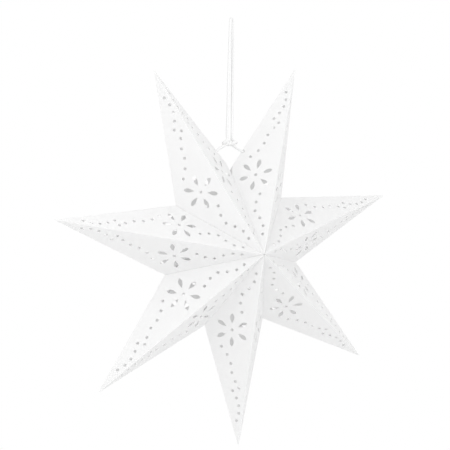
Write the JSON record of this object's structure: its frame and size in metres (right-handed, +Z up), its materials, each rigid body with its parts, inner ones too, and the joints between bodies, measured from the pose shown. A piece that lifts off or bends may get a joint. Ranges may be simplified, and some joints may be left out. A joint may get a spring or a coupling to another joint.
{
  "type": "folded paper star lantern",
  "caption": "Hollow folded card star with pointed arms, punched flowers and dots, and a knotted hanging cord.",
  "frame": {"origin": "the crown of the cord's loop, on its inner side, where a hook carries it", "axes": "+Z up the cord, against gravity; +X to the right of a viewer who faces the star's front; +Y from the front point to the back point"},
  "size_m": [0.4384, 0.1356, 0.4878],
  "materials": {
    "card": "matte",
    "cord": "matte"
  },
  "bodies": {
    "root": {"arm_bottom": "card", "arm_lower_left": "card", "arm_left": "card", "arm_upper_left": "card", "arm_upper_right": "card", "arm_right": "card", "arm_lower_right": "card", "hanging_cord": "cord", "cord_knot": "cord", "stop_knot_left": "cord", "stop_knot_right": "cord"}
  },
  "joints": []
}
